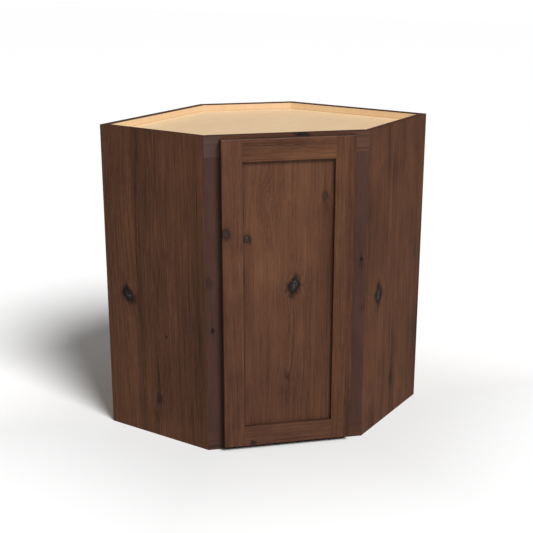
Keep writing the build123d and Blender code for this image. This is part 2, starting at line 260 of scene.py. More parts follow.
def makeKnotGroup(look):
    floats = ("width", "length", *knotDefaults)
    tree, source, result = newGroup(
        "knot",
        {"board": "Vector", "place": "Vector", "seed": "Vector", **dict.fromkeys(floats, "Float")},
        dict.fromkeys(knotParts, "Float"),
    )
    away = splitVector(tree, vectorCalc(tree, "SUBTRACT", source["board"], source["place"]))
    along = calc(tree, "DIVIDE", away["Z"], source["length"])
    leaning = times(tree, times(tree, along, source["lean"]), source["width"])
    across = calc(tree, "DIVIDE", plus(tree, away["X"], leaning), source["width"])
    # taper narrows one end, like a drop, and point narrows both
    narrower = plus(tree, times(tree, along, source["taper"]), 1.0)
    pointed = times(tree, calc(tree, "ABSOLUTE", along), source["point"])
    narrower = larger(tree, plus(tree, narrower, pointed), look["leastTaper"])
    across = times(tree, across, narrower)
    reach = calc(tree, "SQRT", plus(tree, squared(tree, across), squared(tree, along)))
    seeded = vectorCalc(tree, "ADD", source["board"], source["seed"])
    ragged = minus(tree, noise(tree, seeded, *look["raggedNoise"]), 0.5)
    edge = plus(tree, reach, times(tree, ragged, look["ragged"]))

    fullCore = minus(tree, look["core"], times(tree, source["soft"], look["softCore"]))
    core = remap(tree, edge, plus(tree, source["soft"], 1.0), fullCore)
    rim = times(tree, remap(tree, edge, *look["rimOutside"]), remap(tree, edge, *look["rimInside"]))
    rim = times(tree, rim, minus(tree, 1.0, source["soft"]))
    halo = times(tree, squared(tree, remap(tree, edge, *look["halo"])), look["haloShade"])
    # the grain bends round the knot
    lift = bell(tree, squared(tree, calc(tree, "DIVIDE", reach, look["ringSpread"])))
    # a dark tail up and down the board
    tailShare = calc(tree, "DIVIDE", calc(tree, "ABSOLUTE", away["Z"]), source["tail"])
    tail = bell(tree, squared(tree, across), look["tailNarrow"])
    tail = times(tree, tail, remap(tree, tailShare, *look["tailEnd"]))
    streaks = remap(tree, noise(tree, source["board"], *look["tailNoise"]), *look["tailStreaks"])
    tail = times(tree, times(tree, tail, streaks), source["tailShade"])
    feed(tree, result, {
        "lift": times(tree, lift, source["lift"]),
        "core": times(tree, core, source["depth"]),
        "heart": times(tree, remap(tree, edge, *look["heart"]), source["flecks"]),
        "shade": larger(tree, times(tree, halo, source["depth"]), tail),
        "rim": times(tree, rim, source["depth"]),
    })
    return tree


knotGroup = makeKnotGroup(knotLook)


def lateWoodIn(tree, rings, start, full):
    # each ring darkens toward its end and then stops
    inRing = calc(tree, "FRACT", rings)
    return times(tree, remap(tree, inRing, start, full), remap(tree, inRing, 1.0, full))


# stained alder

alder = {
    "display": (0.08, 0.04, 0.02),
    "tones": [
        (0.00, (0.0060, 0.0036, 0.0028)),
        (0.25, (0.0260, 0.0104, 0.0058)),
        (0.50, (0.0700, 0.0280, 0.0128)),
        (0.75, (0.1140, 0.0490, 0.0225)),
        (1.00, (0.1750, 0.0810, 0.0390)),
    ],
    "knotTones": [
        (0.00, (0.0085, 0.0076, 0.0070)),
        (0.38, (0.0150, 0.0150, 0.0140)),
        (0.60, (0.0300, 0.0330, 0.0310)),
        (0.85, (0.0800, 0.0910, 0.0860)),
    ],
    "polish": {"Specular IOR Level": 0.20, "Coat Weight": 0.03, "Coat Roughness": 0.35},
    "grainDepth": 0.00012,

    # noise that stays with the log: stretch, detail, roughness and twist
    "figure": {
        "wander": ((3, 3, 2.2), 2.0),
        "uneven": ((42, 42, 5), 3.0, 0.55),
        "ringStrength": ((26, 26, 3), 1.0),
        "stagger": ((85, 85, 0.6), 3.0, 0.7),
        "cloud": ((10, 10, 4.5), 3.0, 0.5, 0.4),
        "blotch": ((34, 34, 17), 2.0, 0.55),
    },
    # noise that follows the grain round the knots
    "grain": {
        "fibre": ((760, 760, 16), 4.0, 0.62),
        "line": ((290, 290, 6.0), 3.0, 0.6),
        "mottle": ((260, 260, 200), 2.0, 0.65),  # change along the grain
        "streak": ((62, 62, 2.0), 3.0, 0.55, 0.3),
        "pores": ((900, 900, 120), 1.0),
        "hair": ((440, 440, 7), 2.0),
    },
    "knotGrain": ((330, 330, 190), 4.0, 0.7, 1.2),

    "ringWidth": 0.0036,
    "ringWander": 0.055,      # how far the rings leave their circles, in metres
    "ringUneven": 2.2,        # how much their spacing changes, in rings
    "bend": 0.0035,           # how far the grain leans for each ring that a knot pushes aside
    "staggerLength": 1.1,     # neighbouring fibres start at different heights
    "lateWood": (0.15, 0.88),
    "ringStrength": (0.35, 0.65, 0.25, 1.0),
    "pores": (0.58, 0.74),
    "hair": (0.54, 0.74),
    "flecks": (0.40, 0.66),

    "tone": 0.537,            # the middle of the wood, on the scale of the tones
    "toneHeight": 0.4,        # the height of that tone on a board that is lighter toward its top
    "fineNoise": {"fibre": 0.56, "line": 0.34, "mottle": 0.60},
    "fineMarks": {"lateWood": -0.07, "pores": -0.14, "hair": -0.11},
    "broadNoise": {"streak": 0.34, "cloud": 0.46, "blotch": 0.16},
    # how much each part darkens the wood: knot halos and tails, faces that look up, stripes that
    # include painted shade, knot rims
    "stain": {"shade": -0.42, "edge": -0.20, "band": -0.16, "rim": -0.12},
    "rough": 0.34,
    "rougher": {"fibre": 0.16, "pores": 0.12, "core": 0.14},
    "relief": {"fibre": 0.5, "pores": -0.9, "lateWood": -0.15, "rim": -1.4, "knotFlecks": 1.8},
}


def makeAlderGroup(look):
    floats = (*knotParts, "slant", "edge", "band", "patch", "rise", "fine", "broad")
    tree, source, result = newGroup(
        "stained alder",
        {"board": "Vector", "log": "Vector", "cut": "Vector", **dict.fromkeys(floats, "Float")},
        {"color": "Color", "roughness": "Float", "height": "Float"},
    )
    cut = vectorCalc(tree, "ADD", source["board"], source["cut"])
    parts = {name: noise(tree, cut, *values) for name, values in look["figure"].items()}
    # rings about the log's pith, which slants through the board
    place = splitVector(tree, source["board"])
    pith = splitVector(tree, source["log"])
    wander = times(tree, minus(tree, parts["wander"], 0.5), look["ringWander"])
    across = plus(tree, minus(tree, place["X"], pith["X"]), wander)
    through = minus(tree, place["Y"], pith["Y"])
    through = plus(tree, through, times(tree, place["Z"], source["slant"]))
    radius = calc(tree, "SQRT", plus(tree, squared(tree, across), squared(tree, through)))
    rings = calc(tree, "DIVIDE", radius, look["ringWidth"])
    rings = plus(tree, rings, times(tree, parts["uneven"], look["ringUneven"]))
    lateWood = lateWoodIn(tree, plus(tree, rings, source["lift"]), *look["lateWood"])
    ringStrength = remap(tree, parts["ringStrength"], *look["ringStrength"])

    # the grain leans out round a knot
    bent = times(tree, source["lift"], look["bend"])
    stagger = times(tree, parts["stagger"], look["staggerLength"])
    flow = vectorCalc(tree, "ADD", cut, joinVector(tree, {"X": bent, "Z": stagger}))
    parts.update({name: noise(tree, flow, *values) for name, values in look["grain"].items()})
    knotGrain = remap(tree, noise(tree, source["board"], *look["knotGrain"]), *look["flecks"])
    knotGrain = times(tree, knotGrain, source["heart"])
    parts.update({
        "lateWood": times(tree, lateWood, ringStrength),
        "pores": remap(tree, parts["pores"], *look["pores"]),
        "hair": remap(tree, parts["hair"], *look["hair"]),
        "core": source["core"], "rim": source["rim"],
        "knotFlecks": times(tree, knotGrain, source["core"]),
    })

    fine = weighNoise(tree, 0.0, parts, look["fineNoise"])
    fine = weigh(tree, fine, parts, look["fineMarks"])
    broad = weighNoise(tree, 0.0, parts, look["broadNoise"])
    tone = plus(tree, times(tree, fine, source["fine"]), look["tone"])
    tone = plus(tree, times(tree, broad, source["broad"]), tone)
    tone = weigh(tree, tone, source, look["stain"])
    rise = times(tree, minus(tree, place["Z"], look["toneHeight"]), source["rise"])
    tone = plus(tree, plus(tree, tone, rise), source["patch"])
    wood = colorRamp(tree, tone, look["tones"])
    knotColor = colorRamp(tree, knotGrain, look["knotTones"])
    feed(tree, result, {
        "color": blendColor(tree, source["core"], wood, knotColor),
        "roughness": weigh(tree, look["rough"], parts, look["rougher"]),
        "height": weigh(tree, 0.0, parts, look["relief"]),
    })
    return tree


alderGroup = makeAlderGroup(alder)


# pale wood of the inside

maple = {
    "display": (0.75, 0.55, 0.33),
    "tones": [
        (0.15, (0.520, 0.335, 0.185)),
        (0.45, (0.690, 0.485, 0.285)),
        (0.70, (0.760, 0.560, 0.345)),
        (0.95, (0.830, 0.660, 0.455)),
    ],
    "polish": {"Specular IOR Level": 0.35, "Coat Weight": 0.08, "Coat Roughness": 0.30},
    "grainDepth": 0.00008,

    # stretch, detail, roughness and twist
    "noise": {
        "figure": ((17, 17, 1.9), 3.0, 0.5, 1.1),
        "fibre": ((900, 900, 13), 4.0, 0.6),
        "line": ((190, 190, 3), 3.0, 0.55),
        "cloud": ((7, 7, 3), 2.0),
        "flecks": ((1500, 1500, 120), 1.0),
    },
    "ringCount": 9.0,
    "lateWood": (0.1, 0.85),
    "flecks": (0.68, 0.76),
    "tone": 0.62,
    "toneNoise": {"fibre": 0.20, "line": 0.13, "cloud": 0.30},
    "toneMarks": {"lateWood": -0.08, "flecks": -0.20},
    "rough": 0.36,
    "rougher": {"fibre": 0.14},
}


def makeMapleGroup(look):
    tree, source, result = newGroup(
        "pale maple", {"board": "Vector", "cut": "Vector"},
        {"color": "Color", "roughness": "Float", "height": "Float"},
    )
    cut = vectorCalc(tree, "ADD", source["board"], source["cut"])
    parts = {name: noise(tree, cut, *values) for name, values in look["noise"].items()}
    rings = times(tree, parts["figure"], look["ringCount"])
    parts["lateWood"] = lateWoodIn(tree, rings, *look["lateWood"])
    parts["flecks"] = remap(tree, parts["flecks"], *look["flecks"])
    tone = weighNoise(tree, look["tone"], parts, look["toneNoise"])
    tone = weigh(tree, tone, parts, look["toneMarks"])
    feed(tree, result, {
        "color": colorRamp(tree, tone, look["tones"]),
        "roughness": weigh(tree, look["rough"], parts, look["rougher"]),
        "height": minus(tree, parts["fibre"], parts["flecks"]),
    })
    return tree


mapleGroup = makeMapleGroup(maple)
print("wood groups made")


# one board of stained alder, with its own part of the log, colour and knots

boardDefaults = {
    "surface": 0.0, "fine": 1.0, "broad": 1.0, "rise": 0.0, "upFacingDark": 1.0,
    "knots": [], "bands": [], "patches": [], "fades": [],
}
# end grain drinks more stain, and faces that look up are darker
edgeLook = {"endStain": 0.4, "endGrain": (0.6, 0.8), "topEdge": (0.6, 0.9), "topRough": 0.9}
bandLook = {"core": 0.2, "fade": 0.03}  # the share at full shade, and half the length of an end


def knotsOf(tree, place, board):
    sums = dict.fromkeys(knotParts, 0.0)
    for knot in board["knots"]:
        across, along = knot["place"]
        outputs = useGroup(tree, knotGroup, {
            "board": place, "place": (across, board["surface"], along),
            "seed": (knot.get("seed", 0.0), 0.0, 0.0),
            "width": knot["width"] / 2, "length": knot["length"] / 2,
            **{name: knot.get(name, usual) for name, usual in knotDefaults.items()},
        })
        for name in sums:
            sums[name] = calc(tree, "ADD" if name == "lift" else "MAXIMUM", outputs[name], sums[name])
    return sums


def bandsOf(tree, where, board):
    # darker stripes along the board: streaks and joints in the wood, and painted shade in a corner and
    # along the floor
    shade = 0.0
    for band in board["bands"]:
        aside = calc(tree, "ABSOLUTE", minus(tree, where["X"], band["at"]))
        core = band["wide"] * band.get("core", bandLook["core"])
        stripe = times(tree, remap(tree, aside, band["wide"], core), band["shade"])
        for end, fade in (("from", bandLook["fade"]), ("to", -bandLook["fade"])):
            if end in band:
                ending = remap(tree, where["Z"], band[end] - fade, band[end] + fade)
                stripe = times(tree, stripe, ending)
        shade = larger(tree, shade, stripe)
    return shade


def patchesOf(tree, where, board):
    # soft lighter and darker spots; on the door panel one is a painted shadow
    tone = 0.0
    for patch in board["patches"]:
        square = 0.0
        for axis, center, size in zip("XZ", patch["at"], (patch["wide"], patch["tall"])):
            share = calc(tree, "DIVIDE", minus(tree, where[axis], center), size)
            square = plus(tree, squared(tree, share), square)
        tone = plus(tree, times(tree, bell(tree, square), patch["tone"]), tone)
    return tone


def stainBoard(values):
    board = {**boardDefaults, **values}
    material, tree, shader = newMaterial(board["node"] + " alder", alder["display"])
    place, normal = boardSpace(tree, board["face"])
    where, facing = splitVector(tree, place), splitVector(tree, normal)
    endGrain = remap(tree, calc(tree, "ABSOLUTE", facing["Z"]), *edgeLook["endGrain"])
    up = facing["X" if board["face"] == "frontLevel" else "Z"]
    topEdge = remap(tree, up, *edgeLook["topEdge"])
    endStain = times(tree, endGrain, edgeLook["endStain"])
    edge = larger(tree, endStain, times(tree, topEdge, board["upFacingDark"]))
    wood = useGroup(tree, alderGroup, {
        "board": place, "log": (*board["pith"], 0.0), "slant": board["slant"], "cut": board["cut"],
        "edge": edge, "band": bandsOf(tree, where, board), "patch": patchesOf(tree, where, board),
        "rise": board["rise"], "fine": board["fine"], "broad": board["broad"],
        **knotsOf(tree, place, board),
    })
    tint = board["tint"]
    for fade in board["fades"]:  # the colour changes toward an end of the board
        share = remap(tree, where["Z"], fade["from"], fade["to"])
        tint = blendColor(tree, share, tint, fade["tint"])
    color = blendColor(tree, 1.0, wood["color"], tint, "MULTIPLY")
    if "inside" in board:  # the inner face is pale
        inside = remap(tree, where["Y"], *board["inside"], smooth=False)
        pale = useGroup(tree, mapleGroup, {"board": place, "cut": board["cut"]})
        color = blendColor(tree, inside, color, pale["color"])
    feed(tree, shader, {
        "Base Color": color,
        "Roughness": larger(tree, wood["roughness"], times(tree, topEdge, edgeLook["topRough"])),
        "Normal": bumpFrom(tree, wood["height"], alder["grainDepth"]), **alder["polish"],
    })
    paint(board["node"], material)


sideFace = -wallHalf  # the stained faces of the sides, in their board space
sideInside = (-wallHalf + 0.0156, -wallHalf + 0.0158)  # just short of their pale inner faces

# left side: one wide panel with a large knot low on the left

leftSide = {
    "node": "left_side_panel", "face": "left", "surface": sideFace, "pith": (-0.16, -0.36),
    "slant": 0.03, "cut": (0.31, 0.12, 0.4), "tint": (1.18, 1.11, 1.06), "fine": 1.25, "broad": 0.48,
    "inside": sideInside,
    "knots": [
        {"place": (-0.2325, 0.3765), "width": 0.028, "length": 0.034, "lift": 3.2, "lean": 0.38,
         "taper": 0.1, "point": 0.2, "tail": 0.09, "tailShade": 0.45, "seed": 0.3, "flecks": 1.0},
        {"place": (-0.1393, 0.108), "width": 0.015, "length": 0.026, "lift": 1.6, "depth": 0.5,
         "soft": 0.5, "tail": 0.13, "tailShade": 0.35},
        {"place": (-0.1116, 0.2845), "width": 0.004, "length": 0.006, "lift": 0.4, "depth": 0.8},
        {"place": (-0.25, 0.65), "width": 0.05, "length": 0.22, "lift": 5.0, "depth": 0.0},
    ],
    "bands": [
        {"at": -0.142, "wide": 0.012, "shade": 0.4, "to": 0.4},
        {"at": -0.196, "wide": 0.02, "shade": 0.3},
        {"at": -0.062, "wide": 0.03, "shade": 0.3, "to": 0.36},
    ],
    "patches": [
        {"at": (-0.171, 0.7), "wide": 0.028, "tall": 0.17, "tone": -0.1},
        {"at": (-0.064, 0.64), "wide": 0.03, "tall": 0.2, "tone": 0.07},
        {"at": (-0.008, 0.19), "wide": 0.028, "tall": 0.14, "tone": -0.11},
        {"at": (-0.008, 0.43), "wide": 0.028, "tall": 0.11, "tone": -0.07},
        {"at": (-0.255, 0.19), "wide": 0.05, "tall": 0.18, "tone": 0.08},
        {"at": (-0.118, 0.54), "wide": 0.025, "tall": 0.07, "tone": 0.05},
        {"at": (-0.2245, 0.4), "wide": 0.018, "tall": 0.38, "tone": 0.07},
        {"at": (-0.13, 0.02), "wide": 0.11, "tall": 0.05, "tone": 0.09},
    ],
}

rightSide = {
    "node": "right_side_panel", "face": "right", "surface": sideFace, "pith": (0.2, -0.37),
    "slant": -0.02, "cut": (1.7, 0.3, 1.1), "tint": (1.0, 0.91, 0.84), "fine": 1.2, "broad": 0.85,
    "upFacingDark": 0.3, "inside": sideInside,
    "knots": [
        {"place": (0.0585, 0.375), "width": 0.032, "length": 0.048, "lift": 2.2, "taper": 0.2,
         "point": 0.65, "tail": 0.045, "tailShade": 0.5, "seed": 0.6, "flecks": 1.0},
        {"place": (0.1465, 0.11), "width": 0.013, "length": 0.034, "lift": 1.4, "depth": 0.38,
         "soft": 0.4, "point": 0.6, "tail": 0.1, "tailShade": 0.3},
    ],
    "bands": [
        {"at": 0.1, "wide": 0.014, "shade": 0.35},
        {"at": 0.15, "wide": 0.016, "shade": 0.4, "to": 0.3},
    ],
    "patches": [
        {"at": (0.104, 0.49), "wide": 0.032, "tall": 0.11, "tone": 0.07},
        {"at": (0.104, 0.75), "wide": 0.03, "tall": 0.06, "tone": 0.05},
        {"at": (0.19, 0.42), "wide": 0.03, "tall": 0.09, "tone": -0.06},
        {"at": (0.28, 0.2), "wide": 0.04, "tall": 0.13, "tone": -0.07},
        {"at": (0.104, 0.28), "wide": 0.028, "tall": 0.12, "tone": 0.05},
    ],
}

# face frame: rails over the ends of the stiles

frameBoards = [
    {
        "node": "frame_left_stile", "face": "front", "pith": (-0.14, 0.09), "slant": 0.02,
        "cut": (0.9, 2.1, 0.2), "tint": (0.69, 0.75, 1.13), "fine": 0.45, "broad": 0.38, "rise": 0.08,
        "knots": [
            {"place": (-0.1886, 0.3256), "width": 0.007, "length": 0.01, "lift": 0.8, "tail": 0.02,
             "tailShade": 0.3},
            {"place": (-0.1983, 0.4518), "width": 0.016, "length": 0.022, "lift": 1.0, "depth": 0.25,
             "soft": 0.8},
        ],
    },
    {
        "node": "frame_right_stile", "face": "front", "pith": (0.26, 0.08), "slant": -0.03,
        "cut": (2.2, 0.7, 1.6), "tint": (0.745, 0.815, 1.24), "fine": 0.55, "broad": 0.45, "rise": 0.05,
        "knots": [
            {"place": (0.191, 0.4896), "width": 0.0055, "length": 0.0075, "lift": 1.0, "tail": 0.035,
             "tailShade": 0.5},
            {"place": (0.2017, 0.3608), "width": 0.014, "length": 0.016, "lift": 0.8, "depth": 0.2,
             "soft": 0.8},
        ],
    },
    {
        "node": "frame_top_rail", "face": "frontLevel", "pith": (0.87, 0.05), "slant": 0.02,
        "cut": (0.4, 1.4, 2.7), "tint": (1.17, 1.13, 1.46), "fine": 0.7, "broad": 0.6,
        "fades": [
            {"from": -0.15, "to": -0.175, "tint": (0.88, 1.1, 1.95)},
            {"from": 0.15, "to": 0.18, "tint": (1.08, 1.18, 1.58)},
        ],
        "knots": [
            {"place": (0.8058, 0.0367), "width": 0.012, "length": 0.028, "lift": 1.2, "flecks": 0.0,
             "tail": 0.03, "tailShade": 0.5},
        ],
        "bands": [
            {"at": 0.7706, "wide": 0.0045, "shade": 1.0, "from": 0.15},
        ],
    },
    {
        "node": "frame_bottom_rail", "face": "frontLevel", "pith": (0.09, 0.06), "slant": 0.01,
        "cut": (3.1, 0.5, 0.9), "tint": (0.78, 0.8, 1.0), "fine": 0.7, "broad": 0.6,
        "fades": [
            {"from": -0.15, "to": -0.175, "tint": (0.73, 0.82, 1.22)},
        ],
        "bands": [
            # painted shade along the floor at the rail's left end
            {"at": 0.008, "wide": 0.007, "shade": 0.8, "to": -0.13},
        ],
    },
]

# door

doorFace, panelFace = -0.0218, -0.0123  # their front faces, from the face frame's front
doorBoards = [
    {
        "node": "door_left_stile", "face": "front", "pith": (-0.1, 0.07), "slant": 0.03,
        "cut": (1.2, 0.9, 3.3), "tint": (1.08, 1.07, 1.14), "surface": doorFace, "rise": 0.13,
        "fine": 0.75, "broad": 0.9,
        "patches": [
            {"at": (-0.124, 0.7), "wide": 0.014, "tall": 0.07, "tone": 0.07},
            {"at": (-0.124, 0.51), "wide": 0.014, "tall": 0.03, "tone": 0.07},
            {"at": (-0.156, 0.39), "wide": 0.018, "tall": 0.08, "tone": -0.09},
        ],
        "knots": [
            {"place": (-0.1571, 0.5795), "width": 0.016, "length": 0.024, "lift": 1.6, "depth": 0.62,
             "soft": 0.7, "tail": 0.05, "tailShade": 0.3, "flecks": 0.9},
        ],
    },
    {
        "node": "door_right_stile", "face": "front", "pith": (0.06, 0.09), "slant": -0.02,
        "cut": (2.6, 1.9, 0.6), "tint": (1.03, 0.99, 1.0), "surface": doorFace, "rise": 0.04,
        "broad": 0.8,
        "patches": [
            {"at": (0.14, 0.53), "wide": 0.022, "tall": 0.09, "tone": 0.06},
            {"at": (0.119, 0.68), "wide": 0.012, "tall": 0.05, "tone": -0.05},
        ],
        "bands": [
            {"at": 0.162, "wide": 0.0145, "core": 0.85, "shade": 0.5},
        ],
    },
    {
        "node": "door_top_rail", "face": "frontLevel", "pith": (0.7, 0.05), "slant": 0.04,
        "cut": (0.2, 2.9, 1.9), "tint": (1.34, 1.3, 1.29), "surface": doorFace,
    },
    {
        "node": "door_bottom_rail", "face": "frontLevel", "pith": (0.12, 0.06), "slant": -0.04,
        "cut": (1.9, 3.6, 0.3), "tint": (0.99, 0.98, 1.09), "surface": doorFace,
        "knots": [
            {"place": (0.0188, -0.0904), "width": 0.01, "length": 0.013, "lift": 0.9, "depth": 0.7,
             "soft": 0.4, "tail": 0.03, "tailShade": 0.3},
        ],
    },
    {
        "node": "door_panel", "face": "front", "pith": (0.0, 0.004), "slant": 0.085,
        "cut": (0.5, 0.2, 0.1), "tint": (1.1, 1.09, 1.15), "surface": panelFace, "rise": 0.14,
        "fine": 0.82, "broad": 0.6,
        "knots": [
            {"place": (0.0165, 0.435), "width": 0.026, "length": 0.04, "lift": 3.4, "lean": -0.25,
             "taper": 0.3, "point": 0.45, "tail": 0.07, "tailShade": 0.45, "seed": 0.9, "flecks": 0.85},
            {"place": (-0.1024, 0.5614), "width": 0.015, "length": 0.019, "lift": 1.6, "depth": 0.66,
             "soft": 0.5, "tail": 0.04, "tailShade": 0.3, "flecks": 1.0},
            {"place": (0.0915, 0.6597), "width": 0.013, "length": 0.021, "lift": 1.5, "depth": 0.45,
             "soft": 0.5, "tail": 0.08, "tailShade": 0.5},
            {"place": (-0.0041, 0.1968), "width": 0.012, "length": 0.018, "lift": 1.6, "depth": 0.2,
             "soft": 0.8},
            {"place": (-0.0656, 0.654), "width": 0.02, "length": 0.055, "lift": 7.0, "depth": 0.0},
            {"place": (-0.001, 0.1), "width": 0.034, "length": 0.12, "lift": 4.0, "depth": 0.0},
        ],
        "bands": [
            # painted shade in the corner where the panel meets the left stile
            {"at": -0.1135, "wide": 0.0045, "core": 0.6, "shade": 0.8},
        ],
        "patches": [
            {"at": (-0.05, 0.49), "wide": 0.048, "tall": 0.06, "tone": 0.15},
            {"at": (-0.055, 0.37), "wide": 0.036, "tall": 0.08, "tone": 0.07},
            {"at": (-0.065, 0.6), "wide": 0.032, "tall": 0.05, "tone": 0.05},
            # painted shadow of the right stile along the panel's right edge
            {"at": (0.1, 0.52), "wide": 0.022, "tall": 0.26, "tone": -0.08},
            {"at": (0.05, 0.35), "wide": 0.03, "tall": 0.08, "tone": -0.05},
            {"at": (0.02, 0.17), "wide": 0.05, "tall": 0.06, "tone": -0.05},
            {"at": (0.0, 0.74), "wide": 0.04, "tall": 0.03, "tone": 0.04},
            {"at": (-0.1, 0.44), "wide": 0.012, "tall": 0.14, "tone": -0.08},
            {"at": (0.01, 0.08), "wide": 0.05, "tall": 0.04, "tone": 0.06},
            {"at": (-0.06, 0.27), "wide": 0.03, "tall": 0.12, "tone": 0.03},
        ],
    },
]

stainedBoards = [leftSide, rightSide, *frameBoards, *doorBoards]
for board in stainedBoards:
    stainBoard(board)
print("stained boards:", len(stainedBoards))


# pale boards: back panels, decks, rails and shelves

paleBoards = {
    "left_back_panel": {
        "face": "left", "cut": (4.1, 0.3, 0.7), "darkTop": True, "tint": (0.85, 0.82, 0.79),
    },
    "right_back_panel": {
        "face": "right", "cut": (0.6, 3.3, 1.7), "darkTop": True, "tint": (1.14, 1.14, 1.12),
    },
    "corner_back_panel": {
        "face": "corner", "cut": (2.6, 5.3, 2.7), "darkTop": True, "tint": (0.89, 0.86, 0.84),
    },
    "top_panel": {"face": "deck", "cut": (1.6, 1.3, 4.7)},
    "bottom_panel": {"face": "deck", "cut": (3.6, 2.3, 0.7)},
    "lower_shelf": {"face": "deck", "cut": (0.2, 6.3, 2.2)},
    "upper_shelf": {"face": "deck", "cut": (5.2, 4.3, 3.9)},
    "left_upper_hanging_rail": {"face": "left", "cut": (6.2, 0.1, 1.2)},
    "right_upper_hanging_rail": {"face": "right", "cut": (7.4, 0.8, 2.4)},
    "left_lower_hanging_rail": {"face": "left", "cut": (8.1, 1.6, 3.1)},
    "right_lower_hanging_rail": {"face": "right", "cut": (9.3, 2.2, 0.5)},
}
rimStain = {"reach": 0.0026, "full": 0.0021, "color": (0.048, 0.019, 0.009), "rough": 0.9}
# painted shade in the crease where the back panels meet the top panel's upper face
creaseShade = {
    "wide": 0.0024, "full": 0.0004, "strength": 0.55, "color": (0.33, 0.20, 0.105),
    "facing": (0.2, 0.4),  # on faces that look inward
}
inward = (0.7, -0.7, 0.0)  # from the backs toward the inside


def paleBoard(name, board):
    material, tree, shader = newMaterial(name + " maple", maple["display"])
    place = boardSpace(tree, board["face"])[0]
    wood = useGroup(tree, mapleGroup, {"board": place, "cut": board["cut"]})
    color, roughness = wood["color"], wood["roughness"]
    if "tint" in board:
        color = blendColor(tree, 1.0, color, board["tint"], "MULTIPLY")
    if board.get("darkTop"):
        # the rim's upper edge is stained with the outside, and painted shade darkens the crease over
        # the top panel
        height = splitVector(tree, place)["Z"]
        below = minus(tree, cabinetHeight, height)
        rim = remap(tree, below, rimStain["reach"], rimStain["full"], smooth=False)
        color = blendColor(tree, rim, color, rimStain["color"])
        roughness = larger(tree, roughness, times(tree, rim, rimStain["rough"]))
        creaseShadeMask = calc(tree, "ABSOLUTE", minus(tree, height, deckTop))
        creaseShadeMask = remap(tree, creaseShadeMask, creaseShade["wide"], creaseShade["full"], 0.0, creaseShade["strength"])
        facingIn = vectorCalc(tree, "DOT_PRODUCT", objectSpace(tree, "Normal"), inward)
        creaseShadeMask = times(tree, creaseShadeMask, remap(tree, facingIn, *creaseShade["facing"]))
        color = blendColor(tree, creaseShadeMask, color, creaseShade["color"])
    feed(tree, shader, {
        "Base Color": color, "Roughness": roughness,
        "Normal": bumpFrom(tree, wood["height"], maple["grainDepth"]), **maple["polish"],
    })
    paint(name, material)


for name, board in paleBoards.items():
    paleBoard(name, board)
print("pale boards:", len(paleBoards))


# nickelled steel of the hinges, screws and shelf pins

steelLook = {
    "color": (0.62, 0.60, 0.56), "spots": (0.50, 0.485, 0.455), "rough": (0.24, 0.40),
    # noise, and the part of its range in which the look changes
    "brushNoise": ((900, 900, 5200), 3.0, 0.6), "brushRange": (0.25, 0.75), "brushDepth": 0.00002,
    "spotNoise": ((140, 140, 140), 4.0, 0.6), "spotRange": (0.35, 0.75),
    "nodes": [
        "upper_hinge_arm", "lower_hinge_arm", "upper_hinge_cup", "lower_hinge_cup",
        "hinge_pins", "shelf_pins",
    ],
}


def makeSteel(look):
    material, tree, shader = newMaterial("nickelled steel", look["color"])
    place = objectSpace(tree)
    brushed = noise(tree, place, *look["brushNoise"])
    spots = remap(tree, noise(tree, place, *look["spotNoise"]), *look["spotRange"])
    feed(tree, shader, {
        "Base Color": blendColor(tree, spots, look["color"], look["spots"]), "Metallic": 1.0,
        "Roughness": remap(tree, brushed, *look["brushRange"], *look["rough"], smooth=False),
        "Normal": bumpFrom(tree, brushed, look["brushDepth"]),
    })
    return material


steel = makeSteel(steelLook)
for name in steelLook["nodes"]:
    paint(name, steel)


# rubber spacers in the door's grooves, and its clear bumpers

softLooks = {
    "panel_spacers": {
        "name": "black foam", "color": (0.03, 0.03, 0.03), "rough": (0.82, 0.98), "clear": 0.0,
    },
    "door_bumpers": {
        "name": "clear bumper", "color": (0.75, 0.75, 0.72), "rough": (0.27, 0.43), "clear": 0.45,
    },
}
cellLook = {
    "noise": ((900, 900, 900), 3.0, 0.6), "range": (0.3, 0.7), "darker": 0.72, "depth": 0.0001,
}


def makeSoft(look):
    material, tree, shader = newMaterial(look["name"], look["color"])
    cells = noise(tree, objectSpace(tree), *cellLook["noise"])
    darker = tuple(channel * cellLook["darker"] for channel in look["color"])
    feed(tree, shader, {
        "Base Color": blendColor(tree, cells, look["color"], darker),
        "Roughness": remap(tree, cells, *cellLook["range"], *look["rough"], smooth=False),
        "Transmission Weight": look["clear"], "Normal": bumpFrom(tree, cells, cellLook["depth"]),
    })
    return material


for name, look in softLooks.items():
    paint(name, makeSoft(look))
print("steel and rubber painted")


def addObject(name, data):
    added = bpy.data.objects.new(name, data)
    bpy.context.scene.collection.objects.link(added)
    return added


def meshFrom(shape, name):
    mesh = bpy.data.meshes.new(name)
    shape.to_mesh(mesh)
    shape.free()
    return mesh


# screws with a cross recess, in the places of the plain ones

crossScrew = {
    "headTall": 0.0012,
    # radius and height above the head's underside, from the middle of its top outward
    "headProfile": [
        (0.001296, 0.001176), (0.002592, 0.001032), (0.00348, 0.00066), (0.0036, 0.00016),
        (0.00356, 0.0),
    ],
    # height, length and width of the recess's two wedges, where they open and at the bottom
    "slotEnds": [(0.0018, 0.00483, 0.00106), (0.0003, 0.00189, 0.00078)],
    "shankRadius": 0.0019, "coreRadius": 0.0014, "pitch": 0.0016, "length": 0.0125,
    "ridgeHalf": 0.25,        # half the width of the thread's ridge, in pitches
    "threadShare": 0.94,      # how much of the length is threaded
    "tipShare": 0.28,         # and how much of it narrows toward the point
    "around": 32, "steps": 56,
    "firstTurn": 17, "nextTurn": 41,  # degrees, so that no two recesses stand at the same angle
}
screwSpacing = 0.005  # points further apart than this, in height, are of two screws


